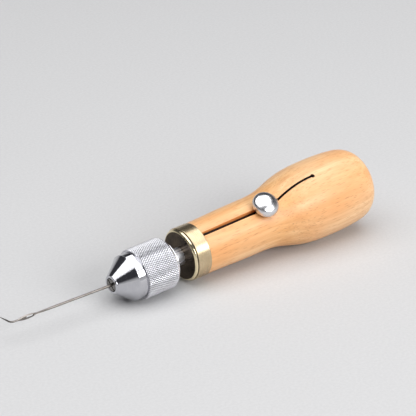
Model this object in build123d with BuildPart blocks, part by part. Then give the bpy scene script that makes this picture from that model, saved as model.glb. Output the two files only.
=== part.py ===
from build123d import *
import os
from math import cos, radians, sin

# Sewing awl: a hollow wooden handle that holds a thread bobbin, a brass ferrule round its mouth,
# and a knurled needle chuck that screws into the mouth.
#
# Millimetres. The long axis is X: the chuck points to -X and the butt to +X. Z is up.
# The origin is the centre of the ferrule's front face.

# ---------------------------------------------------------------- driving dimensions
overall_length = 120.0  # nose of the chuck to the butt, without the needle
bulb_radius = 15.5
neck_radius = 10.35
ferrule_radius = 10.5
ferrule_length = 6.0
nut_radius = 9.95
chuck_stand_out = 33.2  # nose of the chuck ahead of the ferrule
thread_side_angle = -33.0  # where groove, knob and slit lie: degrees from +Z, turned towards +Y

running_gap = 0.1  # radial play between pieces that turn or screw in each other
press_gap = 0.02  # radial room between pieces that stay together

nose_x = -chuck_stand_out
butt_x = overall_length - chuck_stand_out
knob_x = 35.1

# handle
tenon_radius = 9.6  # wood under the ferrule
bulb_x = 63.8  # widest place
sleeve_radius = 8.1
sleeve_length = 12.0
cavity_radius = 7.0
cavity_end = 61.0
groove_width_front = 1.6
groove_width_rear = 2.0
groove_floor = 8.7  # distance of the groove's floor from the long axis
slit_width = 0.75
# points of the slit's curve, from the knob's centre: distance along the axis and to the side
slit_start = (0.9, -1.6)
slit_middle = (13.5, 1.95)
slit_end = (24.0, 2.6)
end_hole_radius = 0.75

# chuck plug and washer
washer_thickness = 0.4
washer_radius = 10.0
flange_thickness = 0.9
flange_radius = 10.2
flange_face_radius = 9.4
plug_thread_radius = sleeve_radius - 0.9 - running_gap
plug_thread_pitch = 1.0
plug_depth = 6.0

# chuck body
flange_face_x = -washer_thickness - flange_thickness
stem_radius = 3.4
flute_count = 10
flute_width = 0.6
flute_depth = 0.45
ring_rear_x = -7.0
ring_thickness = 1.2
ring_radius = 7.9
chuck_thread_radius = 6.0
chuck_front_x = -19.0
socket_radius = 3.25
socket_floor_x = -9.5
spigot_radius = 2.6
spigot_end = 8.6
stem_nut_flats = 8.0
stem_nut_thickness = 2.4

# nut
nut_rear_x = -8.4
nose_rim_radius = 3.85
nose_rounding = 0.5
nose_opening_radius = 2.75
cone_base_x = -26.1
cone_base_radius = 9.0
collar_radius = 9.1
collar_rear_x = -23.0
knurl_front_x = -22.6
knurl_rear_x = -9.4
relief_radius = 8.75  # narrow turned groove between collar and knurl
spanner_flats = 17.4
spanner_flats_angle = -19.0
nut_bore_radius = chuck_thread_radius + 0.15
inner_cone_rear_x = -21.9
inner_cone_radius = 5.4
ring_groove_x = (-21.3, -20.5)
ring_groove_radius = 6.7

# collet
collet_tip_x = -33.3
collet_tip_radius = 2.5
collet_head_x = (-32.3, -22.0)  # where the head's taper starts and ends
collet_head_radius = 5.05
collet_shoulder_x = -21.25
collet_tail_radius = 3.1
collet_tail_end = -9.8
collet_slot_width = 0.55
collet_slot_end = -13.0
collet_bore_radius = 0.72

# needle: a slightly sprung shank, a leaf-shaped blade with the eye, and a hooked point
needle_radius = 0.55
hook_radius = 0.35
needle_inner_end = -15.0
needle_rise = 2.8  # degrees that the shank rises from the long axis ahead of the chuck
rise_start_x = -34.5
rise_arc_radius = 20.0
needle_bend_x = -77.6
needle_bend_radius = 1.6
needle_point_length = 7.6  # straight part after the bend, with its point
needle_droop = 7.0  # degrees that the hooked point hangs below level
blade_x = (-75.2, -66.8)
blade_width = 1.6
blade_thickness = 0.6
eye_x = -69.4
eye_length = 2.8
eye_width = 0.6

# bobbin
bobbin_x = (28.0, 58.0)
bobbin_flange_radius = 6.6
bobbin_flange_thickness = 1.2
bobbin_tube_radius = 2.2
bobbin_tube_bore = 1.4

# tension knob, measured outwards from the long axis
wood_seat = 11.0  # spot face in the wood
insert_inner_end = 7.2
insert_radius = 2.6
tension_screw_radius = 1.5
tension_washer_radius = 3.1
tension_washer_thickness = 0.4
knob_radius = 5.2
knob_underside = 12.1
knob_rim_height = 0.9
knob_top = 16.1
knob_boss_radius = 2.4

thread_side = Plane(
    origin=(0, 0, 0),
    x_dir=(1, 0, 0),
    z_dir=(0, sin(radians(thread_side_angle)), cos(radians(thread_side_angle))),
)
knob_seat = Plane(
    origin=(
        knob_x,
        wood_seat * sin(radians(thread_side_angle)),
        wood_seat * cos(radians(thread_side_angle)),
    ),
    x_dir=(1, 0, 0),
    z_dir=thread_side.z_dir,
)

os.makedirs("parts", exist_ok=True)


def finish_piece(piece, name):
    """Name a finished piece and write it out."""
    piece.part.label = name
    export_step(piece.part, f"parts/{name}.step")


def straight_taper(start, end):
    """A straight generator line for a cone that flats or saw cuts run across."""
    start = Vector(*start)
    end = Vector(*end)
    return Bezier(start, (start + end) * 0.5, end)


# ---------------------------------------------------------------- handle
neck_end = 28.8
swell_x = 39.8
shoulder_x = 79.5
with BuildPart() as wooden_handle:
    with BuildSketch(Plane.XZ):
        with BuildLine():
            tenon = Polyline((0, 0), (0, tenon_radius), (ferrule_length, tenon_radius))
            step = Line(tenon @ 1, (ferrule_length, neck_radius))
            flank = Spline(
                step @ 1,
                (neck_end, neck_radius + 0.5),
                (swell_x, neck_radius + 1.05),
                (50.8, bulb_radius - 1.25),
                (bulb_x, bulb_radius),
                (shoulder_x, bulb_radius - 0.85),
                tangents=[(1, 0.01), (1, -0.14)],
            )
            butt = Spline(
                flank @ 1,
                (84.7, 12.2),
                (butt_x, 0),
                tangents=[(1, -0.14), (0, -1)],
            )
            Line(butt @ 1, (0, 0))
        make_face()
    revolve(axis=Axis.X)
    # the bore: a wide mouth for the threaded sleeve, then the bobbin's cavity
    with Locations(Plane.YZ):
        Cylinder(
            sleeve_radius + press_gap,
            sleeve_length,
            align=(Align.CENTER, Align.CENTER, Align.MIN),
            mode=Mode.SUBTRACT,
        )
        Cylinder(
            cavity_radius,
            cavity_end,
            align=(Align.CENTER, Align.CENTER, Align.MIN),
            mode=Mode.SUBTRACT,
        )
    # thread groove along the neck, which widens a little towards the knob
    with BuildSketch(thread_side.offset(groove_floor)):
        with BuildLine():
            Polyline(
                (ferrule_length, -groove_width_front / 2),
                (knob_x, -groove_width_rear / 2),
                (knob_x, groove_width_rear / 2),
                (ferrule_length, groove_width_front / 2),
                close=True,
            )
        make_face()
    extrude(amount=bulb_radius, mode=Mode.SUBTRACT)
    # fine slit from the knob to a round hole, through the wall into the cavity
    slit_line = ThreePointArc(slit_start, slit_middle, slit_end, mode=Mode.PRIVATE)
    with BuildSketch(thread_side.offset(cavity_radius / 2)):
        with Locations((knob_x, 0)):
            SlotArc(slit_line, slit_width)
        with Locations((knob_x + slit_end[0], slit_end[1])):
            Circle(end_hole_radius)
    extrude(amount=bulb_radius, mode=Mode.SUBTRACT)
    # spot face and hole for the tension insert
    with BuildSketch(knob_seat):
        Circle(tension_washer_radius + 0.3)
    extrude(amount=bulb_radius - wood_seat, mode=Mode.SUBTRACT)
    with BuildSketch(knob_seat):
        Circle(insert_radius + press_gap)
    extrude(amount=-(wood_seat - cavity_radius / 2), mode=Mode.SUBTRACT)
finish_piece(wooden_handle, "wooden_handle")

with BuildPart() as ferrule:
    with BuildSketch(Plane.YZ):
        Circle(ferrule_radius)
        Circle(tenon_radius + press_gap, mode=Mode.SUBTRACT)
    extrude(amount=ferrule_length)
    outer_edges = ferrule.edges().filter_by(GeomType.CIRCLE).group_by(SortBy.RADIUS)[-1]
    fillet(outer_edges, radius=0.25)
finish_piece(ferrule, "ferrule")

with BuildPart() as threaded_sleeve:
    with BuildSketch(Plane.YZ):
        Circle(sleeve_radius)
        Circle(plug_thread_radius + running_gap, mode=Mode.SUBTRACT)
    extrude(amount=sleeve_length)
    mouth = threaded_sleeve.edges().filter_by(GeomType.CIRCLE).group_by(SortBy.RADIUS)[0]
    chamfer(mouth, length=0.3)
finish_piece(threaded_sleeve, "threaded_sleeve")

# ---------------------------------------------------------------- chuck plug and its washer
with BuildPart() as fibre_washer:
    with BuildSketch(Plane.YZ.offset(-washer_thickness)):
        Circle(washer_radius)
        Circle(plug_thread_radius + running_gap, mode=Mode.SUBTRACT)
    extrude(amount=washer_thickness)
finish_piece(fibre_washer, "fibre_washer")

with BuildPart() as chuck_plug:
    with BuildSketch(Plane.XZ):
        with BuildLine():
            face_line = Polyline(
                (plug_depth, 0),
                (flange_face_x, 0),
                (flange_face_x, flange_face_radius),
            )
            bevel = TangentArc(face_line @ 1, (-washer_thickness, flange_radius), tangent=(0.35, 1))
            Polyline(
                bevel @ 1,
                (-washer_thickness, plug_thread_radius),
                (plug_depth - 0.5, plug_thread_radius),
                (plug_depth, plug_thread_radius - 0.5),
                (plug_depth, 0),
            )
        make_face()
    revolve(axis=Axis.X)
    # thread grooves round the spigot
    groove_half = plug_thread_pitch * 0.36
    with BuildSketch(Plane.XZ):
        for turn in range(int(plug_depth / plug_thread_pitch) - 1):
            with Locations((0.6 + turn * plug_thread_pitch, plug_thread_radius)):
                Polygon(
                    (-groove_half, 0),
                    (0, -groove_half * 1.5),
                    (groove_half, 0),
                    (0, groove_half),
                    align=None,
                )
    revolve(axis=Axis.X, mode=Mode.SUBTRACT)
    with BuildSketch(Plane.YZ.offset(flange_face_x)):
        Circle(spigot_radius + press_gap)
    extrude(amount=plug_depth - flange_face_x, mode=Mode.SUBTRACT)
finish_piece(chuck_plug, "chuck_plug")

# ---------------------------------------------------------------- chuck body
with BuildPart() as chuck_body:
    with BuildSketch(Plane.XZ):
        with BuildLine():
            Polyline(
                (spigot_end, 0),
                (spigot_end, spigot_radius - 0.4),
                (spigot_end - 0.4, spigot_radius),
                (flange_face_x, spigot_radius),
                (flange_face_x, stem_radius),
                (ring_rear_x - ring_thickness, stem_radius),
                (ring_rear_x - ring_thickness, chuck_thread_radius),
                (chuck_front_x + 0.6, chuck_thread_radius),
                (chuck_front_x, chuck_thread_radius - 0.6),
                (chuck_front_x, 0),
                close=True,
            )
        make_face()
    revolve(axis=Axis.X)
    with BuildSketch(Plane.YZ.offset(chuck_front_x)):
        Circle(socket_radius)
    extrude(amount=socket_floor_x - chuck_front_x, mode=Mode.SUBTRACT)
    # lengthwise flutes on the part of the stem that shows
    with BuildSketch(Plane.YZ.offset(ring_rear_x)):
        with PolarLocations(stem_radius, flute_count, start_angle=90 / flute_count):
            Rectangle(2 * flute_depth, flute_width)
    extrude(amount=flange_face_x - ring_rear_x, mode=Mode.SUBTRACT)
finish_piece(chuck_body, "chuck_body")

with BuildPart() as stop_ring:
    with BuildSketch(Plane.YZ.offset(ring_rear_x - ring_thickness)):
        Circle(ring_radius)
        Circle(stem_radius + press_gap, mode=Mode.SUBTRACT)
    extrude(amount=ring_thickness)
    rims = stop_ring.edges().filter_by(GeomType.CIRCLE).group_by(SortBy.RADIUS)[-1]
    chamfer(rims, length=0.2)
finish_piece(stop_ring, "stop_ring")

with BuildPart() as stem_nut:
    with BuildSketch(Plane.YZ.offset(plug_depth)):
        RegularPolygon(stem_nut_flats / 2, 6, major_radius=False)
        Circle(spigot_radius + press_gap, mode=Mode.SUBTRACT)
    extrude(amount=stem_nut_thickness)
finish_piece(stem_nut, "stem_nut")

# ---------------------------------------------------------------- collet
with BuildPart() as collet:
    with BuildSketch(Plane.XZ):
        with BuildLine():
            tip = Line((collet_tip_x, 0), (collet_tip_x, collet_tip_radius - 0.25))
            rounding = TangentArc(tip @ 1, (collet_tip_x + 0.25, collet_tip_radius), tangent=(0, 1))
            neck = Line(rounding @ 1, (collet_head_x[0], collet_tip_radius))
            taper = straight_taper(neck @ 1, (collet_head_x[1], collet_head_radius))
            Polyline(
                taper @ 1,
                (collet_shoulder_x, collet_head_radius),
                (collet_shoulder_x, collet_tail_radius),
                (collet_tail_end, collet_tail_radius),
                (collet_tail_end, 0),
                tip @ 0,
            )
        make_face()
    revolve(axis=Axis.X)
    with BuildSketch(Plane.YZ.offset(collet_tip_x)):
        Circle(collet_bore_radius)
    extrude(amount=collet_tail_end - collet_tip_x, mode=Mode.SUBTRACT)
    # two crossed saw cuts make the four jaws
    with BuildSketch(Plane.YZ.offset(collet_tip_x)):
        with PolarLocations(0, 2, start_angle=45, angular_range=180):
            Rectangle(4 * collet_head_radius, collet_slot_width)
    extrude(amount=collet_slot_end - collet_tip_x, mode=Mode.SUBTRACT)
finish_piece(collet, "collet")

# ---------------------------------------------------------------- nut
with BuildPart() as chuck_nut:
    with BuildSketch(Plane.XZ):
        with BuildLine():
            rim = Polyline(
                (nose_x, nose_opening_radius),
                (nose_x, nose_rim_radius - nose_rounding),
                (nose_x + nose_rounding, nose_rim_radius),
            )
            cone = straight_taper(rim @ 1, (cone_base_x, cone_base_radius))
            Polyline(
                cone @ 1,
                (cone_base_x, collar_radius),
                (collar_rear_x, collar_radius),
                (collar_rear_x, relief_radius),
                (knurl_front_x, relief_radius),
                (knurl_front_x, nut_radius - 0.3),
                (knurl_front_x + 0.3, nut_radius),
                (knurl_rear_x, nut_radius),
                (nut_rear_x, nut_radius - 0.5),
                (nut_rear_x, nut_bore_radius),
                (inner_cone_rear_x, nut_bore_radius),
                (inner_cone_rear_x, inner_cone_radius),
                (nose_x + 1.0, nose_opening_radius),
                rim @ 0,
            )
        make_face()
    revolve(axis=Axis.X)
    with BuildSketch(Plane.YZ.offset(ring_groove_x[0])):
        Circle(ring_groove_radius)
        Circle(nut_bore_radius - 0.2, mode=Mode.SUBTRACT)
    extrude(amount=ring_groove_x[1] - ring_groove_x[0], mode=Mode.SUBTRACT)
    # two flats for a spanner, cut across the collar and the foot of the cone
    with BuildSketch(Plane.YZ.offset(nose_x)):
        with PolarLocations(spanner_flats / 2, 2, start_angle=90 - spanner_flats_angle):
            Rectangle(nut_radius, 3 * nut_radius, align=(Align.MIN, Align.CENTER))
    extrude(amount=collar_rear_x - nose_x, mode=Mode.SUBTRACT)
finish_piece(chuck_nut, "chuck_nut")

with BuildPart() as collet_ring:
    with BuildSketch(Plane.YZ.offset(ring_groove_x[0] + 0.1)):
        Circle(ring_groove_radius - press_gap)
        Circle(collet_tail_radius + 0.6, mode=Mode.SUBTRACT)
        # the gap that lets the ring close for fitting
        with Locations((ring_groove_radius, 0)):
            Rectangle(2 * ring_groove_radius, 1.6, mode=Mode.SUBTRACT)
    extrude(amount=ring_groove_x[1] - ring_groove_x[0] - 0.2)
finish_piece(collet_ring, "collet_ring")

# ---------------------------------------------------------------- needle
droop = radians(needle_droop)
rise = radians(needle_rise)
shank_direction = Vector(-cos(rise), 0, sin(rise))
point_direction = Vector(0, cos(droop), -sin(droop))
rise_end = Vector(
    rise_start_x - rise_arc_radius * sin(rise), 0, rise_arc_radius * (1 - cos(rise))
)


def on_shank(x):
    """The shank's centre at this x, ahead of where it starts to rise."""
    return rise_end + shank_direction * ((rise_end.X - x) / cos(rise))


bend_corner = on_shank(needle_bend_x)
bend_start = bend_corner - shank_direction * needle_bend_radius
bend_end = bend_corner + point_direction * needle_bend_radius
point_start = bend_end + point_direction * (needle_point_length * 0.35)
point_tip = bend_end + point_direction * needle_point_length
blade_centre = on_shank(sum(blade_x) / 2)
blade_half = (blade_x[1] - blade_x[0]) / 2
blade_across = shank_direction.cross(point_direction).normalized()
blade_plane = Plane(
    origin=blade_centre,
    x_dir=-shank_direction,
    z_dir=blade_across.cross(shank_direction),
)
with BuildPart() as needle:
    with BuildLine() as shank_path:
        shank = Line((needle_inner_end, 0, 0), (rise_start_x, 0, 0))
        spring = TangentArc(shank @ 1, rise_end, tangent=(-1, 0, 0))
        Line(spring @ 1, blade_centre)
    with BuildSketch(Plane.YZ.offset(needle_inner_end)):
        Circle(needle_radius)
    sweep(path=shank_path.wires()[0])
    with BuildLine() as hook_path:
        approach = Line(blade_centre, bend_start)
        bend = TangentArc(bend_start, bend_end, tangent=shank_direction)
        Line(bend @ 1, point_start)
    with BuildSketch(Plane(blade_centre, x_dir=(0, 1, 0), z_dir=shank_direction)):
        Circle(hook_radius)
    sweep(path=hook_path.wires()[0])
    with BuildSketch(Plane(point_start, x_dir=(1, 0, 0), z_dir=point_direction)):
        Circle(hook_radius)
    with BuildSketch(Plane(point_tip, x_dir=(1, 0, 0), z_dir=point_direction)):
        Circle(0.06)
    loft()
    # the leaf-shaped blade, with the shank cleared from its faces, and the eye through it
    with BuildSketch(blade_plane.offset(blade_thickness / 2)):
        Rectangle(1.6 * blade_half, 2 * needle_radius)
    extrude(amount=needle_radius, mode=Mode.SUBTRACT)
    with BuildSketch(blade_plane.offset(-blade_thickness / 2)):
        Rectangle(1.6 * blade_half, 2 * needle_radius)
    extrude(amount=-needle_radius, mode=Mode.SUBTRACT)
    with BuildSketch(blade_plane.offset(-blade_thickness / 2)):
        with BuildLine():
            upper = ThreePointArc((-blade_half, 0), (0, blade_width / 2), (blade_half, 0))
            ThreePointArc(upper @ 1, (0, -blade_width / 2), upper @ 0)
        make_face()
    extrude(amount=blade_thickness)
    with BuildSketch(blade_plane.offset(-needle_radius)):
        with Locations((eye_x - blade_centre.X, 0)):
            SlotOverall(eye_length, eye_width)
    extrude(amount=2 * needle_radius, mode=Mode.SUBTRACT)
finish_piece(needle, "needle")

# ---------------------------------------------------------------- bobbin
with BuildPart() as bobbin_tube:
    with BuildSketch(Plane.YZ.offset(bobbin_x[0])):
        Circle(bobbin_tube_radius)
        Circle(bobbin_tube_bore, mode=Mode.SUBTRACT)
    extrude(amount=bobbin_x[1] - bobbin_x[0])
finish_piece(bobbin_tube, "bobbin_tube")

with BuildPart() as bobbin_flange_front:
    with BuildSketch(Plane.YZ.offset(bobbin_x[0])):
        Circle(bobbin_flange_radius)
        Circle(bobbin_tube_radius + press_gap, mode=Mode.SUBTRACT)
    extrude(amount=bobbin_flange_thickness)
finish_piece(bobbin_flange_front, "bobbin_flange_front")

with BuildPart() as bobbin_flange_rear:
    with BuildSketch(Plane.YZ.offset(bobbin_x[1] - bobbin_flange_thickness)):
        Circle(bobbin_flange_radius)
        Circle(bobbin_tube_radius + press_gap, mode=Mode.SUBTRACT)
    extrude(amount=bobbin_flange_thickness)
finish_piece(bobbin_flange_rear, "bobbin_flange_rear")

# ---------------------------------------------------------------- tension knob
with BuildPart() as tension_insert:
    with BuildSketch(knob_seat.offset(insert_inner_end - wood_seat)):
        Circle(insert_radius)
        Circle(tension_screw_radius + running_gap, mode=Mode.SUBTRACT)
    extrude(amount=wood_seat - insert_inner_end)
finish_piece(tension_insert, "tension_insert")

washer_top = wood_seat + tension_washer_thickness
with BuildPart() as tension_washer:
    with BuildSketch(knob_seat):
        Circle(tension_washer_radius)
        Circle(tension_screw_radius + running_gap, mode=Mode.SUBTRACT)
    extrude(amount=tension_washer_thickness)
finish_piece(tension_washer, "tension_washer")

# the knob and its screw turn about the line that stands square on the knob's seat
knob_line = Axis((knob_x, 0, 0), tuple(thread_side.z_dir))
knob_section = Plane(
    origin=(knob_x, 0, 0),
    x_dir=(1, 0, 0),
    z_dir=(0, -cos(radians(thread_side_angle)), sin(radians(thread_side_angle))),
)
screw_top = knob_underside + 1.2
screw_hole_radius = tension_screw_radius + press_gap
rim_top = knob_underside + knob_rim_height
dome_shoulder = (knob_radius * cos(radians(45)), rim_top + (knob_top - rim_top) * sin(radians(47)))
with BuildPart() as tension_knob:
    with BuildSketch(knob_section):
        with BuildLine():
            underside = Polyline(
                (screw_hole_radius, washer_top),
                (knob_boss_radius, washer_top),
                (knob_boss_radius, knob_underside),
                (knob_radius - 0.2, knob_underside),
                (knob_radius, knob_underside + 0.2),
                (knob_radius, rim_top),
            )
            dome = Spline(
                underside @ 1,
                dome_shoulder,
                (0, knob_top),
                tangents=[(0, 1), (-1, 0)],
            )
            Polyline(dome @ 1, (0, screw_top), (screw_hole_radius, screw_top), underside @ 0)
        make_face()
    revolve(axis=knob_line)
finish_piece(tension_knob, "tension_knob")

with BuildPart() as tension_screw:
    with BuildSketch(thread_side.offset(insert_inner_end)):
        with Locations((knob_x, 0)):
            Circle(tension_screw_radius)
    extrude(amount=screw_top - insert_inner_end)
    inner_rim = tension_screw.edges().filter_by(GeomType.CIRCLE).sort_by(knob_line)[0]
    chamfer(inner_rim, length=0.3)
finish_piece(tension_screw, "tension_screw")
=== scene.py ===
"""The looks of the sewing awl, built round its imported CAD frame.

Metres, in the CAD's own frame: the long axis is X, the chuck points to -X, Z is up, and the
origin is the centre of the ferrule's front face. The floor is tilted under the awl, as it lies
on its bulb and on the rim of its nut.
"""

import math

import bmesh
import bpy
import numpy as np
from mathutils import Matrix, Quaternion, Vector


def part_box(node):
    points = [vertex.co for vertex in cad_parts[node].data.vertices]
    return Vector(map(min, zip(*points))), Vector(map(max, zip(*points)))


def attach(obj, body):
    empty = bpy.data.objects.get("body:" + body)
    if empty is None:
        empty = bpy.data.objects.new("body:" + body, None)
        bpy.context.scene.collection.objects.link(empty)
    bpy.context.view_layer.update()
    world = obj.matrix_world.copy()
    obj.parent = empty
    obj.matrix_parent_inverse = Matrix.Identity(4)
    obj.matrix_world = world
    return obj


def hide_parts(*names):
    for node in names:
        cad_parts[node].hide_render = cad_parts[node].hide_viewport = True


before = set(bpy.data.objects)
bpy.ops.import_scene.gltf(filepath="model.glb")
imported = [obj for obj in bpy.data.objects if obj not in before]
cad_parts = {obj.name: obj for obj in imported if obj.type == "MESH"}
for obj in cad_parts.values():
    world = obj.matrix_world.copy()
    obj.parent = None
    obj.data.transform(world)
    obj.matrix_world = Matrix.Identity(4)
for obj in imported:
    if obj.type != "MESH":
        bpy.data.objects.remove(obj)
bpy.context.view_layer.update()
MM = 0.001
SMOOTH_ANGLE = 30.0  # degrees; edges sharper than this stay sharp, unless a piece says otherwise

# ------------------------------------------------------------------ sizes taken from the frame
handle_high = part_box("wooden_handle")[1]
nut_low, nut_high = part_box("chuck_nut")
knob_low, knob_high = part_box("tension_knob")
PLUG_FACE_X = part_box("chuck_plug")[0][0]

# in millimetres, as are all the sizes of the new pieces below
BUTT = handle_high[0] / MM
BULB_RADIUS = handle_high[2] / MM
NOSE = nut_low[0] / MM
NUT_REAR = nut_high[0] / MM
NUT_RADIUS = nut_high[2] / MM
NEEDLE_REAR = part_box("needle")[1][0] / MM
FERRULE_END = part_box("ferrule")[1][0] / MM
KNOB_X = (knob_low[0] + knob_high[0]) / 2 / MM


# ------------------------------------------------------------------ mesh helpers
def new_piece(name, vertices, faces, materials, smooth_angle):
    """A mesh object shaded smooth except at edges sharper than smooth_angle degrees."""
    mesh = bpy.data.meshes.new(name)
    mesh.from_pydata([tuple(v) for v in vertices], [], faces)
    mesh.update()
    piece = bpy.data.objects.new(name, mesh)
    bpy.context.collection.objects.link(piece)
    for material in materials:
        mesh.materials.append(material)
    shade(mesh, smooth_angle)
    return piece


def shade(mesh, smooth_angle):
    """Outward normals, smooth faces and sharp edges."""
    shape = bmesh.new()
    shape.from_mesh(mesh)
    bmesh.ops.recalc_face_normals(shape, faces=shape.faces)
    limit = math.radians(smooth_angle)
    for face in shape.faces:
        face.smooth = True
    for edge in shape.edges:
        edge.smooth = len(edge.link_faces) != 2 or edge.calc_face_angle(0.0) < limit
    shape.to_mesh(mesh)
    shape.free()
    mesh.update()


def bake_modifiers(piece):
    """Replaces a piece's mesh by what its modifiers make of it."""
    graph = bpy.context.evaluated_depsgraph_get()
    graph.update()
    result = bpy.data.meshes.new_from_object(piece.evaluated_get(graph))
    piece.modifiers.clear()
    piece.data = result


def cut(piece, *cutters):
    """Takes the cutters out of a piece and welds slivers; cut faces keep the cutters' material."""
    for cutter in cutters:
        step = piece.modifiers.new("cut", "BOOLEAN")
        step.operation = "DIFFERENCE"
        step.solver = "EXACT"
        step.material_mode = "TRANSFER"
        step.object = cutter
        bake_modifiers(piece)
        bpy.data.objects.remove(cutter)
    shape = bmesh.new()
    shape.from_mesh(piece.data)
    bmesh.ops.remove_doubles(shape, verts=shape.verts, dist=0.003 * MM)
    bmesh.ops.dissolve_degenerate(shape, edges=shape.edges, dist=0.001 * MM)
    shape.to_mesh(piece.data)
    shape.free()


def curve_through(points, start, end, samples):
    """A smooth cubic curve through (x, radius) points with the given end directions."""
    points = np.array(points, float)
    spans = np.linalg.norm(np.diff(points, axis=0), axis=1)
    knots = np.concatenate([[0], np.cumsum(spans)])
    count = len(points)
    system = np.zeros((count, count))
    right_side = np.zeros_like(points)
    system[0, 0] = system[-1, -1] = 1
    right_side[0] = np.array(start) / np.linalg.norm(start)
    right_side[-1] = np.array(end) / np.linalg.norm(end)
    for k in range(1, count - 1):
        before, after = spans[k - 1], spans[k]
        system[k, k - 1 : k + 2] = after, 2 * (before + after), before
        rise_before = (points[k] - points[k - 1]) / before
        rise_after = (points[k + 1] - points[k]) / after
        right_side[k] = 3 * (after * rise_before + before * rise_after)
    slopes = np.linalg.solve(system, right_side)
    result = []
    for place in np.linspace(0, knots[-1], samples):
        k = min(np.searchsorted(knots, place, side="right") - 1, count - 2)
        span = spans[k]
        t = (place - knots[k]) / span
        result.append(
            (2 * t**3 - 3 * t**2 + 1) * points[k]
            + (t**3 - 2 * t**2 + t) * span * slopes[k]
            + (3 * t**2 - 2 * t**3) * points[k + 1]
            + (t**3 - t**2) * span * slopes[k + 1]
        )
    return [tuple(point) for point in result]


def lathe(name, outline, segments, materials, closed=False):
    """Turns an outline of (x, radius) points, in millimetres, about the long axis."""
    vertices, rings = [], []
    for x, radius in outline:
        if radius < 1e-6:
            rings.append([len(vertices)])
            vertices.append((x * MM, 0, 0))
            continue
        rings.append(range(len(vertices), len(vertices) + segments))
        for k in range(segments):
            angle = 2 * math.pi * k / segments
            vertices.append((x * MM, radius * math.sin(angle) * MM, radius * math.cos(angle) * MM))
    pairs = list(zip(rings, rings[1:]))
    if closed:
        pairs.append((rings[-1], rings[0]))
    faces = []
    for first, second in pairs:
        for k in range(segments):
            n = (k + 1) % segments
            if len(first) == 1:
                faces.append((first[0], second[k], second[n]))
            elif len(second) == 1:
                faces.append((first[k], second[0], first[n]))
            else:
                faces.append((first[k], second[k], second[n], first[n]))
    return new_piece(name, vertices, faces, materials, SMOOTH_ANGLE)


def skin(name, sections, materials, smooth_angle=SMOOTH_ANGLE, marked=None):
    """A closed skin over a row of sections that all have the same number of points.

    The faces after point number marked take the second material.
    """
    vertices = [point for section in sections for point in section]
    count = len(sections[0])
    faces = [tuple(range(count))[::-1], tuple(range(len(vertices) - count, len(vertices)))]
    for row in range(len(sections) - 1):
        for k in range(count):
            n = (k + 1) % count
            low, high = row * count, (row + 1) * count
            faces.append((low + k, low + n, high + n, high + k))
    piece = new_piece(name, vertices, faces, materials, smooth_angle)
    if marked is not None:
        for row in range(len(sections) - 1):
            piece.data.polygons[2 + row * count + marked].material_index = 1
    return piece


# ------------------------------------------------------------------ node helpers
def new_material(name):
    """A material with its node tree and its Principled shader."""
    material = bpy.data.materials.new(name)
    material.use_nodes = True
    tree = material.node_tree
    return material, tree, tree.nodes["Principled BSDF"]


def add(tree, kind, inputs=None, **settings):
    """Adds one shader node, with its settings and with values or links on its inputs."""
    node = tree.nodes.new("ShaderNode" + kind)
    for key, value in settings.items():
        setattr(node, key, value)
    for key, value in (inputs or {}).items():
        if isinstance(value, bpy.types.NodeSocket):
            tree.links.new(value, node.inputs[key])
        else:
            node.inputs[key].default_value = value
    return node


def link(tree, source, target):
    tree.links.new(source, target)


def stretched(tree, scale):
    """The piece's own coordinates in metres, scaled by a different amount along each axis."""
    coordinates = add(tree, "TexCoord")
    mapping = add(tree, "Mapping", {"Vector": coordinates.outputs["Object"], "Scale": scale})
    return mapping.outputs["Vector"]


def noise(tree, scale, detail, output="Fac", **more):
    """Noise in the piece's own coordinates; scale is in waves a metre, one number or one an axis."""
    scale = scale if isinstance(scale, tuple) else (scale,) * 3
    inputs = {"Vector": stretched(tree, scale), "Scale": 1.0, "Detail": detail, **more}
    return add(tree, "TexNoise", inputs).outputs[output]


def grey(value):
    return (value, value, value)


def ramp(tree, factor, stops):
    """A colour ramp; stops are (place, colour) pairs."""
    node = add(tree, "ValToRGB", {"Fac": factor})
    elements = node.color_ramp.elements
    while len(elements) < len(stops):
        elements.new(0.5)
    for element, (place, colour) in zip(elements, stops):
        element.position = place
        element.color = (*colour, 1)
    return node.outputs["Color"]


def mixed(tree, factor, first, second):
    """The first colour where the factor is 0, the second where it is 1."""
    node = add(tree, "Mix", data_type="RGBA")
    for place, value in ((0, factor), (6, first), (7, second)):
        if isinstance(value, bpy.types.NodeSocket):
            tree.links.new(value, node.inputs[place])
        elif isinstance(value, (int, float)):
            node.inputs[place].default_value = value
        else:
            node.inputs[place].default_value = (*value, 1)
    return node.outputs[2]


def maths(tree, operation, first, second=0.0, clamp=False):
    node = add(tree, "Math", {0: first, 1: second}, operation=operation, use_clamp=clamp)
    return node.outputs[0]


def remap(tree, value, low, high, new_low, new_high):
    """Moves a value's range from low..high to new_low..new_high, and clamps it there."""
    limits = {"From Min": low, "From Max": high, "To Min": new_low, "To Max": new_high}
    return add(tree, "MapRange", {"Value": value, **limits}).outputs["Result"]


def bump(tree, height, distance, strength):
    """Bump whose distance is the real depth in metres."""
    node = add(tree, "Bump", {"Height": height, "Distance": distance, "Strength": strength})
    return node.outputs["Normal"]


# ------------------------------------------------------------------ materials
PITH = (0.0, -0.045, 0.062)  # where the tree's centre lay, beside the handle
RINGS_PER_METRE = 330.0
FLECK_THRESHOLD = 0.43  # Voronoi cells whose random grey is below this stay plain


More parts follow.
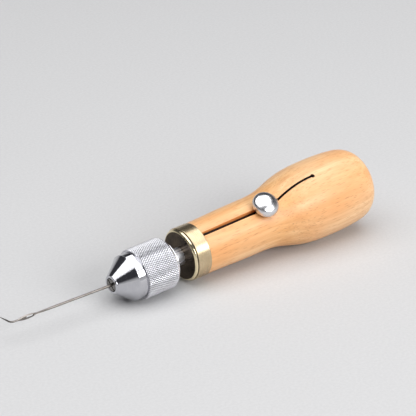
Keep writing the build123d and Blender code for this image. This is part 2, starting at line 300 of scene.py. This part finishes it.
def growth_bands(tree, body):
    """Year rings round a pith outside the handle, bent by a slow noise."""
    warp = noise(tree, (9, 60, 60), 2.0, "Color")
    bent = add(tree, "VectorMath", {0: warp, 1: (0.0, 0.016, 0.016)}, operation="MULTIPLY_ADD")
    link(tree, body, bent.inputs[2])
    pith = add(tree, "VectorMath", {0: bent.outputs["Vector"], 1: PITH}, operation="SUBTRACT")
    across = add(tree, "VectorMath", {0: pith.outputs["Vector"], 1: (0.04, 1, 1)}, operation="MULTIPLY")
    length = add(tree, "VectorMath", {0: across.outputs["Vector"]}, operation="LENGTH")
    rings = maths(tree, "MULTIPLY", length.outputs["Value"], RINGS_PER_METRE)
    stops = [(0.0, grey(0.2)), (0.7, grey(0.75)), (0.9, grey(1.0)), (1.0, grey(0.25))]
    return ramp(tree, maths(tree, "FRACT", rings), stops)


def ray_flecks(tree):
    """Short flecks along the grain, in some of the cells of a stretched Voronoi pattern."""
    place = stretched(tree, (230, 2300, 2300))
    cells = add(tree, "TexVoronoi", {"Vector": place, "Scale": 1.0, "Randomness": 1.0})
    fleck = remap(tree, cells.outputs["Distance"], 0.10, 0.38, 1.0, 0.0)
    chosen = maths(tree, "GREATER_THAN", cells.outputs["Color"], FLECK_THRESHOLD)
    return maths(tree, "MULTIPLY", fleck, chosen, clamp=True)


def beech():
    """Pale steamed beech: soft growth bands, fine fibres, short dark ray flecks, a thin lacquer, and a
    sheen painted lighter on neck and bulb.
    """
    material, tree, shader = new_material("beech")
    body = add(tree, "TexCoord").outputs["Object"]
    band = growth_bands(tree, body)
    fibres = noise(tree, (90, 3400, 3400), 3.0, Roughness=0.6)
    streaks = noise(tree, (28, 520, 520), 3.0)
    clouds = noise(tree, (22, 55, 55), 2.0)
    fleck = ray_flecks(tree)

    browns = [(0.30, (0.68, 0.31, 0.10)), (0.5, (0.84, 0.48, 0.20)), (0.70, (0.93, 0.61, 0.31))]
    tone = ramp(tree, streaks, browns)
    # neck and bulb are painted a lighter tone than the waist between them: a painted sheen
    along = add(tree, "SeparateXYZ", {0: body}).outputs["X"]
    sheen_paleness = [(0.0, 0.35), (0.30, 0.25), (0.44, 0.0), (0.66, 0.5), (1.0, 0.5)]
    stops = [(place, grey(share)) for place, share in sheen_paleness]
    painted_sheen = ramp(tree, remap(tree, along, 0.0, 0.09, 0.0, 1.0), stops)
    tone = mixed(tree, painted_sheen, tone, (0.95, 0.69, 0.43))
    tone = mixed(tree, remap(tree, clouds, 0.46, 0.70, 0.0, 0.75), tone, (0.82, 0.34, 0.10))
    tone = mixed(tree, remap(tree, band, 0.0, 1.0, 0.0, 0.34), tone, (0.66, 0.30, 0.095))
    tone = mixed(tree, remap(tree, fibres, 0.35, 0.75, 0.0, 0.36), tone, (0.58, 0.26, 0.08))
    tone = mixed(tree, maths(tree, "MULTIPLY", fleck, 0.7), tone, (0.46, 0.17, 0.045))
    link(tree, tone, shader.inputs["Base Color"])
    link(tree, remap(tree, fibres, 0.3, 0.8, 0.40, 0.52), shader.inputs["Roughness"])
    grain = maths(tree, "ADD", fibres, maths(tree, "MULTIPLY", fleck, -0.7))
    link(tree, bump(tree, grain, 0.00004, 0.5), shader.inputs["Normal"])
    shader.inputs["Coat Weight"].default_value = 0.4
    shader.inputs["Coat Roughness"].default_value = 0.34
    return material


def turned_metal(name, colour, stain, roughness, lines, line_depth):
    """A metal turned or brushed round the long axis: fine lines that run round the piece.

    lines is in waves a metre along the axis, and line_depth in metres.
    """
    material, tree, shader = new_material(name)
    shader.inputs["Metallic"].default_value = 1.0
    around = noise(tree, (lines, 90, 90), 4.0)
    cloud = noise(tree, 260, 5.0)
    tone = mixed(tree, remap(tree, cloud, 0.42, 0.75, 0.0, 0.55), colour, stain)
    tone = mixed(tree, remap(tree, around, 0.4, 0.75, 0.0, 0.25), tone, stain)
    link(tree, tone, shader.inputs["Base Color"])
    from_lines = remap(tree, around, 0.3, 0.7, -0.05, 0.06)
    from_cloud = remap(tree, cloud, 0.3, 0.7, 0.0, 0.05)
    rough = maths(tree, "ADD", maths(tree, "ADD", from_lines, from_cloud), roughness)
    link(tree, rough, shader.inputs["Roughness"])
    link(tree, bump(tree, around, line_depth, 0.6), shader.inputs["Normal"])
    return material


def knurled_metal(name, colour, shaded, roughness):
    """Plated knurling: bright crests, with dark dirt and painted shade down in the valleys."""
    material, tree, shader = new_material(name)
    shader.inputs["Metallic"].default_value = 1.0
    valley = add(tree, "Attribute", attribute_name="valley").outputs["Fac"]
    uneven = remap(tree, noise(tree, 700, 4.0), 0.3, 0.7, 0.75, 1.1)
    depth = maths(tree, "MULTIPLY", valley, uneven, clamp=True)
    # the valleys go to the shaded colour: partly dirt, partly painted shade
    tone = mixed(tree, remap(tree, depth, 0.3, 0.95, 0.0, 1.0), colour, shaded)
    link(tree, tone, shader.inputs["Base Color"])
    link(tree, remap(tree, depth, 0.0, 1.0, roughness, roughness + 0.25), shader.inputs["Roughness"])
    return material


PLUG_BEVEL = (9.35, 9.5)  # radii between which the dark face turns into the bright bevel


def plug_face_brass():
    """The flange's face is polished and painted nearly black, a painted dark reflection; its bevel and
    everything behind it are bright.
    """
    material, tree, shader = new_material("plug_brass")
    shader.inputs["Metallic"].default_value = 1.0
    place = add(tree, "TexCoord").outputs["Object"]
    radial = add(tree, "VectorMath", {0: place, 1: (0, 1, 1)}, operation="MULTIPLY")
    length = add(tree, "VectorMath", {0: radial.outputs["Vector"]}, operation="LENGTH")
    radius = length.outputs["Value"]
    cloud = noise(tree, 300, 4.0)
    outwards = add(tree, "CombineXYZ", {"X": maths(tree, "MULTIPLY", radius, 5200.0)}).outputs[0]
    lathe_lines = add(tree, "TexNoise", {"Vector": outwards, "Scale": 1.0, "Detail": 2.0}).outputs["Fac"]
    patches = remap(tree, cloud, 0.4, 0.7, 0.0, 1.0)
    # nearly black tones: a painted dark reflection on the polished face
    face = mixed(tree, patches, (0.065, 0.045, 0.028), (0.03, 0.02, 0.013))
    face = mixed(tree, remap(tree, lathe_lines, 0.45, 0.75, 0.0, 0.4), face, (0.12, 0.085, 0.05))
    bevel = remap(tree, radius, PLUG_BEVEL[0] * MM, PLUG_BEVEL[1] * MM, 0.0, 1.0)
    depth = add(tree, "SeparateXYZ", {0: place}).outputs["X"]
    behind = remap(tree, depth, PLUG_FACE_X + 0.05 * MM, PLUG_FACE_X + 0.15 * MM, 0.0, 1.0)
    bright = maths(tree, "MAXIMUM", bevel, behind)
    link(tree, mixed(tree, bright, face, (0.86, 0.74, 0.49)), shader.inputs["Base Color"])
    link(tree, remap(tree, cloud, 0.3, 0.7, 0.16, 0.27), shader.inputs["Roughness"])
    link(tree, bump(tree, lathe_lines, 0.000003, 0.5), shader.inputs["Normal"])
    return material


def washer_fibre():
    """Dark vulcanised fibre."""
    material, tree, shader = new_material("fibre")
    tone = mixed(tree, noise(tree, 1500, 2.0), (0.045, 0.025, 0.014), (0.02, 0.012, 0.008))
    link(tree, tone, shader.inputs["Base Color"])
    shader.inputs["Roughness"].default_value = 0.7
    return material


def floor_material():
    """A plain pale floor."""
    material, tree, shader = new_material("floor")
    tone = ramp(tree, noise(tree, 900, 3.0), [(0.3, (0.54, 0.54, 0.545)), (0.7, (0.58, 0.58, 0.585))])
    link(tree, tone, shader.inputs["Base Color"])
    shader.inputs["Roughness"].default_value = 0.75
    return material


# ------------------------------------------------------------------ the thread side of the handle
THREAD_SIDE = math.radians(-33.0)  # where groove, knob and slit lie, turned from +Z towards +Y


def thread_side(x, aside, out):
    """The point at this x, this far sideways and this far out on the thread side, in metres."""
    y = aside * math.cos(THREAD_SIDE) + out * math.sin(THREAD_SIDE)
    z = -aside * math.sin(THREAD_SIDE) + out * math.cos(THREAD_SIDE)
    return (x * MM, y * MM, z * MM)


def disc(x, aside, out, radius, count=40):
    """A circle on the thread side, square to the outward direction."""
    turns = (2 * math.pi * k / count for k in range(count))
    return [thread_side(x + radius * math.cos(t), aside + radius * math.sin(t), out) for t in turns]


# ------------------------------------------------------------------ wooden handle
TENON_RADIUS = 9.6
NECK_RADIUS = 10.35
SHOULDER = (79.5, BULB_RADIUS - 0.85)
CAVITY = (61.0, 7.0)  # depth and radius of the bobbin's cavity
MOUTH = (12.0, 8.12)  # depth and radius of the wider mouth
EDGE_ROUND = 0.13  # worn edges of groove and slit
GROOVE_FLOOR = (8.8, 7.7)  # the groove's floor at the ferrule and at the knob, from the long axis
GROOVE_HALF = 0.8  # half its width at the ferrule
GROOVE_WIDENS = 0.2  # by this much more, each side, at the knob
IN_CAVITY = 4.0  # how near the long axis the cuts through the wall reach
KNOB_SEAT = (3.4, 11.0, 16.0)  # radius, and from and to which height above the long axis
INSERT_HOLE = (2.62, IN_CAVITY, 11.5)  # the same
SLIT_WIDTH = 0.75
SLIT_POINTS = ((0.9, -1.6), (13.5, 1.95), (24.0, 2.6))  # from the knob's centre: along, aside
END_HOLE_RADIUS = 0.75


def handle_outline():
    """The flank from the ferrule to the shoulder, and the butt behind it, within the CAD box."""
    flank = [
        (FERRULE_END, NECK_RADIUS),
        (28.8, NECK_RADIUS + 0.5),
        (39.8, NECK_RADIUS + 1.05),
        (50.8, BULB_RADIUS - 1.25),
        (63.8, BULB_RADIUS),
        SHOULDER,
    ]
    butt = [SHOULDER, (84.7, 12.2), (BUTT, 0)]
    curves = (
        curve_through(flank, (1, 0.01), (1, -0.14), 90),
        curve_through(butt, (1, -0.14), (0, -1), 36),
    )
    largest = BULB_RADIUS - 0.01
    return [[(min(x, BUTT), min(radius, largest)) for x, radius in curve] for curve in curves]


def circle_through(a, b, c):
    """Centre and radius of the circle through three points."""
    rows = np.array([[2 * (p[0] - a[0]), 2 * (p[1] - a[1])] for p in (b, c)])
    sums = np.array([sum(np.square(b)) - sum(np.square(a)), sum(np.square(c)) - sum(np.square(a))])
    centre = np.linalg.solve(rows, sums)
    return centre[0], centre[1], math.dist(centre, a)


def slot_section(x, aside, half, floor, surface):
    """Across a slot: straight walls with an eased edge where they meet the wood's surface."""
    skin_height = math.sqrt(surface**2 - aside**2)
    ease = EDGE_ROUND
    corners = [
        (-half, floor),
        (half, floor),
        (half, skin_height - ease),
        (half + 0.6 * ease, skin_height - 0.3 * ease),
        (half + 3.6 * ease, skin_height + 2.7 * ease),
        (half + 3.6 * ease, skin_height + 2.0),
        (-half - 3.6 * ease, skin_height + 2.0),
        (-half - 3.6 * ease, skin_height + 2.7 * ease),
        (-half - 0.6 * ease, skin_height - 0.3 * ease),
        (-half, skin_height - ease),
    ]
    return [thread_side(x, aside + a, out) for a, out in corners]


def through_wall(name, x, aside, hole, material):
    """A round cutter on the thread side: hole is its radius and the heights it runs between."""
    radius, inner, outer = hole
    return skin(name, [disc(x, aside, out, radius) for out in (inner, outer)], [material])


def wooden_handle(wood, cut_wood, shade_painted_wood):
    """The handle with its bore, and with groove, slit, end hole and knob seat cut into it."""
    flank, butt = handle_outline()
    bore = [
        (CAVITY[0], 0),
        (CAVITY[0], CAVITY[1]),
        (MOUTH[0], CAVITY[1]),
        (MOUTH[0], MOUTH[1]),
        (0, MOUTH[1]),
    ]
    outline = bore + [(0, TENON_RADIUS), (FERRULE_END, TENON_RADIUS)] + flank + butt[1:]
    handle = lathe("beech_handle", outline, 200, [wood])
    xs, radii = zip(*flank)

    def surface(x):
        return float(np.interp(x, xs, radii))

    groove = []
    for x in np.linspace(FERRULE_END - 0.1, KNOB_X, 30):
        share = (x - FERRULE_END) / (KNOB_X - FERRULE_END)
        floor = GROOVE_FLOOR[0] + (GROOVE_FLOOR[1] - GROOVE_FLOOR[0]) * share
        half = GROOVE_HALF + GROOVE_WIDENS * share
        groove.append(slot_section(x, 0, half, floor, surface(x)))
    # the groove's floor face takes the second, nearly black material: painted shade
    groove = skin("groove", groove, [cut_wood, shade_painted_wood], marked=0)

    slit = []
    centre_along, centre_aside, arc_radius = circle_through(*SLIT_POINTS)
    start, end = SLIT_POINTS[0][0], SLIT_POINTS[2][0]
    for along in np.linspace(start, end, 34):
        rise = math.sqrt(arc_radius**2 - (along - centre_along) ** 2)
        half = SLIT_WIDTH / 2 * arc_radius / rise
        x = KNOB_X + along
        slit.append(slot_section(x, centre_aside + rise, half, IN_CAVITY, surface(x)))
    slit = skin("slit", slit, [shade_painted_wood])

    end_x, end_aside = KNOB_X + end, SLIT_POINTS[2][1]
    top = math.sqrt(surface(end_x) ** 2 - end_aside**2)
    rings = [(IN_CAVITY, 0), (top - 0.15, 0), (top - 0.05, 0.05), (top + 0.5, 0.6)]
    rings = [disc(end_x, end_aside, out, END_HOLE_RADIUS + wider) for out, wider in rings]
    end_hole = skin("end_hole", rings, [shade_painted_wood])
    seat = through_wall("seat", KNOB_X, 0, KNOB_SEAT, cut_wood)
    insert_hole = through_wall("insert_hole", KNOB_X, 0, INSERT_HOLE, cut_wood)
    cut(handle, groove, slit, end_hole, seat, insert_hole)
    shade(handle.data, 32)
    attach(handle, "handle")
    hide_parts("wooden_handle")


# ------------------------------------------------------------------ chuck nut
KNURL_ROWS = 10  # diamonds in a line along the grip; a staggered line lies between each two
KNURL_TURNS = 64  # diamonds in a ring round the grip; a staggered ring lies between each two
KNURL_STEPS = 4  # mesh columns, and mesh rows, to a diamond
KNURL_DEPTH = 0.32  # where two grooves cross
KNURL_END = -9.4
NUT_BORE = 6.15
NOSE_BORE = 2.75
NOSE_LIP = 1.0  # how thick the nose's front wall is at its bore
NOSE_RIM = 3.85
NOSE_ROUNDING = 0.5
INNER_REAR_RADIUS = 5.5  # inside the nose piece, where it meets the grip
CONE_BASE = (-26.1, 9.0)
COLLAR_RADIUS = 9.1
COLLAR_END = -23.0
COLLAR_CHAMFER = 0.1
RELIEF_RADIUS = 8.75
GRIP_START = -22.6
SPANNER_FLATS = 17.4
SPANNER_ANGLE = math.radians(-19.0)


def nut_nose(metal):
    """Cone, collar with two spanner flats, and the turned relief in front of the grip."""
    outline = [(NOSE, NOSE_BORE)]
    for k in range(11):
        turn = math.pi / 2 * k / 10
        x = NOSE + NOSE_ROUNDING * (1 - math.cos(turn))
        outline.append((x, NOSE_RIM - NOSE_ROUNDING * (1 - math.sin(turn)) * 0.9))
    cone_start = outline[-1]
    for share in (0.25, 0.5, 0.75, 1.0):
        x = cone_start[0] + (CONE_BASE[0] - cone_start[0]) * share
        outline.append((x, cone_start[1] + (CONE_BASE[1] - cone_start[1]) * share))
    outline += [
        (CONE_BASE[0] + 0.05, COLLAR_RADIUS),
        (COLLAR_END - COLLAR_CHAMFER, COLLAR_RADIUS),
        (COLLAR_END, COLLAR_RADIUS - COLLAR_CHAMFER),
        (COLLAR_END, RELIEF_RADIUS),
        (GRIP_START, RELIEF_RADIUS),
        (GRIP_START, INNER_REAR_RADIUS),
        (NOSE + NOSE_LIP, NOSE_BORE),
    ]
    piece = lathe("nut_nose", outline, 160, [metal], closed=True)
    cutters = []
    for side in (0, math.pi):
        turn = SPANNER_ANGLE + side
        across = Vector((0, math.cos(turn), -math.sin(turn)))
        out = Vector((0, math.sin(turn), math.cos(turn)))
        half = SPANNER_FLATS / 2
        sections = []
        for x in (NOSE + 4.0, GRIP_START + 0.5):
            corners = ((-9, half), (9, half), (9, 12), (-9, 12))
            middle = Vector((x, 0, 0)) * MM
            sections.append([middle + (across * a + out * b) * MM for a, b in corners])
        cutters.append(skin("flat", sections, [metal]))
    cut(piece, *cutters)
    shade(piece.data, 10)
    return piece


def knurl_depth(i, j):
    """How deep the mesh point in column i and row j lies, as a share of KNURL_DEPTH."""
    steps = KNURL_STEPS
    nearer, further = sorted(min(k % steps, -k % steps) for k in (i + j, i - j))
    if nearer == 0:
        return 1.0 if further == 0 else 0.75
    return 0.15 if nearer == 1 else 0.0


def nut_grip(metal):
    """The knurled grip: two sets of crossing grooves leave rows of small flat-topped diamonds."""
    start, end = GRIP_START, NUT_REAR
    steps = KNURL_STEPS
    columns = KNURL_TURNS * steps
    rows = KNURL_ROWS * steps
    crest = NUT_RADIUS
    rings = []
    for j in range(rows + 1):
        x = start + (KNURL_END - start) * j / rows
        ease = min(crest - 0.35 + 1.0 * (x - start), crest)
        ring = []
        for i in range(columns):
            low = knurl_depth(i, j)
            ring.append((x, min(crest - KNURL_DEPTH * low, ease), low))
        rings.append(ring)
    turned_rear = [(KNURL_END + 0.08, -0.3), (KNURL_END + 0.2, -0.12), (end - 0.15, -0.42), (end, -0.6)]
    for x, lower in turned_rear:
        rings.append([(x, crest + lower, 0.0)] * columns)
    rings += [[(end, NUT_BORE, 0.0)] * columns, [(start, NUT_BORE, 0.0)] * columns]
    vertices, depths = [], []
    for ring in rings:
        for i, (x, radius, low) in enumerate(ring):
            turn = 2 * math.pi * i / columns
            vertices.append((x * MM, radius * math.sin(turn) * MM, radius * math.cos(turn) * MM))
            depths.append(low)
    faces = []
    for j in range(len(rings)):
        following = (j + 1) % len(rings)
        for i in range(columns):
            n = (i + 1) % columns
            a, b = j * columns + i, j * columns + n
            c, d = following * columns + n, following * columns + i
            if j < rows and (i + j + 1) % steps == 0:
                faces += [(a, b, d), (b, c, d)]
            elif j < rows and (i - j) % steps == 0:
                faces += [(a, b, c), (a, c, d)]
            else:
                faces.append((a, b, c, d))
    piece = new_piece("nut_grip", vertices, faces, [metal], 18)
    piece.data.attributes.new("valley", "FLOAT", "POINT").data.foreach_set("value", depths)
    return piece


def chuck_nut(polished, knurled):
    """Two new pieces stand for the one CAD nut, as they have different finishes."""
    nose = nut_nose(polished)
    grip = nut_grip(knurled)
    for piece in (nose, grip):
        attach(piece, "nut")
        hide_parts("chuck_nut")


# ------------------------------------------------------------------ needle
RISE = math.radians(2.8)
RISE_START = -34.5
RISE_ARC = 20.0
DROOP = math.radians(7.0)
BEND_X = -77.6
BEND_RADIUS = 1.6
POINT_LENGTH = 7.6
HOOK_RADIUS = 0.34
TIP_RADIUS = 0.02
BLADE = (-75.7, -65.6)
BLADE_HALF_WIDTH = 0.88
BLADE_HALF_THICKNESS = 0.30
SHANK = ((BLADE[1], 0.36), (BLADE[1] + 5, 0.46), (-37, 0.47), (-34, 0.55))  # x and radius
THREAD_GROOVE = (BLADE[1] - 2.4, BLADE[1] + 6)
THREAD_GROOVE_DEPTH = 0.12
EYE_X = -69.6
EYE_HALF_STRAIGHT = 1.2
EYE_RADIUS = 0.4


def needle_path():
    """Points and directions along the needle's centre, from inside the chuck to the point."""
    along = Vector((-math.cos(RISE), 0, math.sin(RISE)))
    aside = Vector((0, math.cos(DROOP), -math.sin(DROOP)))
    level = Vector((-1, 0, 0))
    stations = [(Vector((x, 0, 0)), level) for x in (NEEDLE_REAR, -25, RISE_START)]
    for k in range(1, 5):
        turn = RISE * k / 4
        place = Vector((RISE_START - RISE_ARC * math.sin(turn), 0, RISE_ARC * (1 - math.cos(turn))))
        stations.append((place, Vector((-math.cos(turn), 0, math.sin(turn)))))
    risen = stations[-1][0]
    corner = risen + along * ((risen.x - BEND_X) / math.cos(RISE))
    straight = (corner - along * BEND_RADIUS - risen).length
    blade_from = (risen.x - BLADE[1]) / math.cos(RISE) - 1.0
    for k in range(1, 12):
        stations.append((risen + along * (blade_from * k / 11), along))
    for k in range(1, 60):
        stations.append((risen + along * (blade_from + (straight - blade_from) * k / 60), along))
    bend_centre = corner - along * BEND_RADIUS + aside * BEND_RADIUS
    for k in range(13):
        turn = math.pi / 2 * k / 12
        place = bend_centre + (along * math.sin(turn) - aside * math.cos(turn)) * BEND_RADIUS
        stations.append((place, along * math.cos(turn) + aside * math.sin(turn)))
    bend_end = corner + aside * BEND_RADIUS
    for k in range(1, 31):
        stations.append((bend_end + aside * (POINT_LENGTH * k / 30), aside))
    return stations, along, aside


def shank_or_blade(x):
    """Half the needle's width and half its thickness at this x, up to the hook."""
    half_wide = half_thick = float(np.interp(x, *zip(*SHANK)))
    if x < BLADE[0] + 1.0:
        half_wide = half_thick = HOOK_RADIUS
    leaf = (x - BLADE[0]) / (BLADE[1] - BLADE[0])
    if 0 < leaf < 1:
        swell = math.sin(math.pi * leaf**0.95) ** 0.8
        half_wide = max(half_wide if leaf > 0.5 else HOOK_RADIUS, BLADE_HALF_WIDTH * swell)
        wire = SHANK[0][1] if leaf > 0.5 else HOOK_RADIUS
        half_thick = wire + (BLADE_HALF_THICKNESS - wire) * min(1.0, swell * 1.5)
    return half_wide, half_thick


def thread_groove(x, turn):
    """How deep the thread groove along the shank's side is here."""
    start, end = THREAD_GROOVE
    if start < x < end and abs(math.sin(turn) - 1) < 0.06:
        return THREAD_GROOVE_DEPTH * min(1.0, (end - x) / 4)
    return 0.0


def needle_eye(metal, along, aside, wide):
    """A cutter for the slot through the blade."""
    centre = Vector((EYE_X, 0, 0))
    centre.z = math.tan(RISE) * (RISE_START - centre.x) - 0.02
    sections = []
    for depth in (-1.0, 1.0):
        ring = []
        for n in range(24):
            turn = 2 * math.pi * n / 24
            end = EYE_HALF_STRAIGHT if math.cos(turn) > 0 else -EYE_HALF_STRAIGHT
            reach = end + EYE_RADIUS * math.cos(turn)
            across = along * reach + wide * (EYE_RADIUS * math.sin(turn))
            ring.append((centre + aside * depth + across) * MM)
        sections.append(ring)
    return skin("eye", sections, [metal])


def needle(metal):
    """A round shank that flattens to a leaf-shaped blade round its eye, with a hooked point."""
    stations, along, aside = needle_path()
    wide = along.cross(aside).normalized()
    hook_start = next(k for k, (place, _) in enumerate(stations) if place.y > 1e-6)
    sections = []
    for k, (place, direction) in enumerate(stations):
        half_wide, half_thick = shank_or_blade(place.x)
        if k > hook_start:
            taper = 1 - ((k - hook_start) / (len(stations) - 1 - hook_start)) ** 2.2
            half_wide = half_thick = max(TIP_RADIUS, HOOK_RADIUS * taper)
        thin = direction.cross(wide).normalized()
        section = []
        for n in range(20):
            turn = 2 * math.pi * n / 20
            half_deep = half_thick - thread_groove(place.x, turn)
            offset = wide * (half_wide * math.cos(turn)) + thin * (half_deep * math.sin(turn))
            section.append((place + offset) * MM)
        sections.append(section)
    piece = skin("awl_needle", sections, [metal], 40)
    cut(piece, needle_eye(metal, along, aside, wide))
    shade(piece.data, 40)
    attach(piece, "needle")
    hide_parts("needle")


# ------------------------------------------------------------------ dress the object
def dress(node, material):
    """Gives a carried-over CAD node its finished material."""
    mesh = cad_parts[node].data
    mesh.materials.clear()
    mesh.materials.append(material)


def sawn_wood(name, colour, dark, depth):
    """Sawn wood inside the groove and the slit, with painted shade: it darkens from depth[0] down to
    depth[1].
    """
    material, tree, shader = new_material(name)
    saw = noise(tree, (500, 2500, 2500), 3.0)
    tone = mixed(tree, remap(tree, saw, 0.3, 0.7, 0.0, 0.5), colour, [c * 0.6 for c in colour])
    place = add(tree, "TexCoord").outputs["Object"]
    outwards = (0.0, math.sin(THREAD_SIDE), math.cos(THREAD_SIDE))
    height = add(tree, "VectorMath", {0: place, 1: outwards}, operation="DOT_PRODUCT")
    # painted shade: the deeper inside the cut, the nearer the dark colour
    painted_shade = remap(tree, height.outputs["Value"], depth[0] * MM, depth[1] * MM, 0.0, 1.0)
    link(tree, mixed(tree, painted_shade, tone, dark), shader.inputs["Base Color"])
    shader.inputs["Roughness"].default_value = 0.85
    link(tree, bump(tree, saw, 0.00005, 0.6), shader.inputs["Normal"])
    return material


# the groove's walls darken downwards with painted shade; the slit, the end hole and the groove's floor
# are painted nearly black, painted shade for their deep insides
wooden_handle(
    beech(),
    sawn_wood("sawn_beech", (0.92, 0.42, 0.13), (0.10, 0.04, 0.015), (8.8, 7.9)),
    sawn_wood("shade_painted_sawn_beech", (0.05, 0.03, 0.02), (0.012, 0.008, 0.006), (13.0, 10.0)),
)
# name: colour, stain, roughness, lines a metre, depth of the lines in metres
TURNED_METALS = {
    "ferrule_brass": ((0.62, 0.50, 0.325), (0.47, 0.36, 0.21), 0.25, 4200, 0.000004),
    "inner_brass": ((0.75, 0.60, 0.33), (0.52, 0.40, 0.22), 0.25, 2600, 0.000004),
    "nickel": ((0.57, 0.57, 0.60), (0.48, 0.48, 0.51), 0.08, 2600, 0.000001),
    "bright_steel": ((0.84, 0.84, 0.87), (0.62, 0.62, 0.65), 0.12, 2600, 0.000001),
    "knob_chrome": ((0.74, 0.74, 0.76), (0.66, 0.66, 0.68), 0.24, 400, 0.0000005),
    "stem_steel": ((0.90, 0.90, 0.93), (0.55, 0.55, 0.58), 0.32, 3200, 0.000003),
    "plain_steel": ((0.60, 0.60, 0.62), (0.42, 0.42, 0.43), 0.28, 3000, 0.000003),
    "collet_steel": ((0.22, 0.21, 0.20), (0.10, 0.095, 0.09), 0.2, 3000, 0.000003),
    "needle_steel": ((0.25, 0.23, 0.215), (0.15, 0.13, 0.11), 0.3, 900, 0.000002),
    "bobbin_metal": ((0.80, 0.80, 0.81), (0.66, 0.66, 0.67), 0.3, 2400, 0.000003),
}
metals = {name: turned_metal(name, *look) for name, look in TURNED_METALS.items()}
knurled_nickel = knurled_metal("knurled_nickel", (0.82, 0.82, 0.86), (0.015, 0.015, 0.02), 0.25)
chuck_nut(metals["nickel"], knurled_nickel)
needle(metals["needle_steel"])

# which metal each carried-over CAD node is dressed in
NODE_METALS = {
    "ferrule": "ferrule_brass",
    "threaded_sleeve": "inner_brass",
    "tension_insert": "inner_brass",
    "stop_ring": "bright_steel",
    "chuck_body": "stem_steel",
    "tension_knob": "knob_chrome",
    "collet": "collet_steel",
    "collet_ring": "plain_steel",
    "stem_nut": "plain_steel",
    "tension_washer": "plain_steel",
    "tension_screw": "plain_steel",
    "bobbin_tube": "bobbin_metal",
    "bobbin_flange_front": "bobbin_metal",
    "bobbin_flange_rear": "bobbin_metal",
}
for node, metal in NODE_METALS.items():
    dress(node, metals[metal])
dress("chuck_plug", plug_face_brass())
dress("fibre_washer", washer_fibre())


# ------------------------------------------------------------------ floor, camera and light
REST_TILT = math.radians(3.9)  # how far the awl's nose hangs below its butt
FLOOR_HALF = 1.2
floor_normal = Vector((math.sin(REST_TILT), 0, math.cos(REST_TILT)))


def lowest_along(direction):
    """The least measure along a direction of any point of the handle or the nut."""
    reach = []
    for node in ("wooden_handle", "chuck_nut"):
        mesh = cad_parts[node].data
        places = np.empty(len(mesh.vertices) * 3)
        mesh.vertices.foreach_get("co", places)
        reach.append((places.reshape(-1, 3) @ np.array(direction)).min())
    return min(reach)


floor_turn = Vector((0, 0, 1)).rotation_difference(floor_normal)
floor_mesh = bpy.data.meshes.new("floor")
corners = [(x * FLOOR_HALF, y * FLOOR_HALF, 0) for x, y in ((-1, -1), (1, -1), (1, 1), (-1, 1))]
floor_mesh.from_pydata(corners, [], [(0, 1, 2, 3)])
floor = bpy.data.objects.new("floor", floor_mesh)
floor.rotation_mode = "QUATERNION"
floor.rotation_quaternion = floor_turn
floor.location = floor_normal * lowest_along(floor_normal)
floor_mesh.materials.append(floor_material())
bpy.context.collection.objects.link(floor)

# the photo's viewing angle, from a camera one metre away
CAMERA_PLACE = (-0.49614, -0.70368, 0.4810)
CAMERA_RIGHT = (0.7895, -0.6108, -0.0594)
CAMERA_FORWARD = (0.5167, 0.7138, -0.4728)
camera_data = bpy.data.cameras.new("camera")
camera_data.sensor_width = 36.0
camera_data.lens = 226.9
camera_data.clip_end = 20
camera = bpy.data.objects.new("camera", camera_data)
right = Vector(CAMERA_RIGHT).normalized()
forward = Vector(CAMERA_FORWARD).normalized()
up = right.cross(forward)
rows = [(right[k], up[k], -forward[k], CAMERA_PLACE[k]) for k in range(3)]
camera.matrix_world = Matrix((*rows, (0, 0, 0, 1)))
bpy.context.collection.objects.link(camera)
bpy.context.scene.camera = camera


def softbox(name, place, target, size, power, turn=0.0):
    """A rectangular area light that faces a point, turned by some degrees in its own plane."""
    light = bpy.data.lights.new(name, "AREA")
    light.shape = "RECTANGLE"
    light.size, light.size_y = size
    light.energy = power
    lamp = bpy.data.objects.new(name, light)
    lamp.location = place
    aim = Vector(target) - Vector(place)
    lamp.rotation_mode = "QUATERNION"
    in_plane = Quaternion((0, 0, 1), math.radians(turn))
    lamp.rotation_quaternion = aim.to_track_quat("-Z", "Y") @ in_plane
    bpy.context.collection.objects.link(lamp)


softbox("overhead", (0.02, -0.02, 1.0), (0.02, -0.02, 0), (1.9, 1.3), 17.5, -14.0)
softbox("front", (0.38, -1.7, 0.85), (0.02, 0, 0), (1.5, 0.8), 23.5)
softbox("card", (0.62, -0.86, 0.55), (0, 0, 0), (0.55, 0.65), 1.5)

# pale up to just above the horizon, and dark higher up
world = bpy.data.worlds.new("studio")
world.use_nodes = True
sky = world.node_tree
direction = add(sky, "TexCoord").outputs["Generated"]
height = add(sky, "SeparateXYZ", {0: direction}).outputs["Z"]
above = remap(sky, height, 0.08, 0.26, 0.0, 1.0)
tone = ramp(sky, above, [(0.0, grey(0.62)), (1.0, (0.05, 0.05, 0.056))])
link(sky, tone, sky.nodes["Background"].inputs["Color"])
bpy.context.scene.world = world
bpy.context.scene.view_settings.view_transform = "Standard"
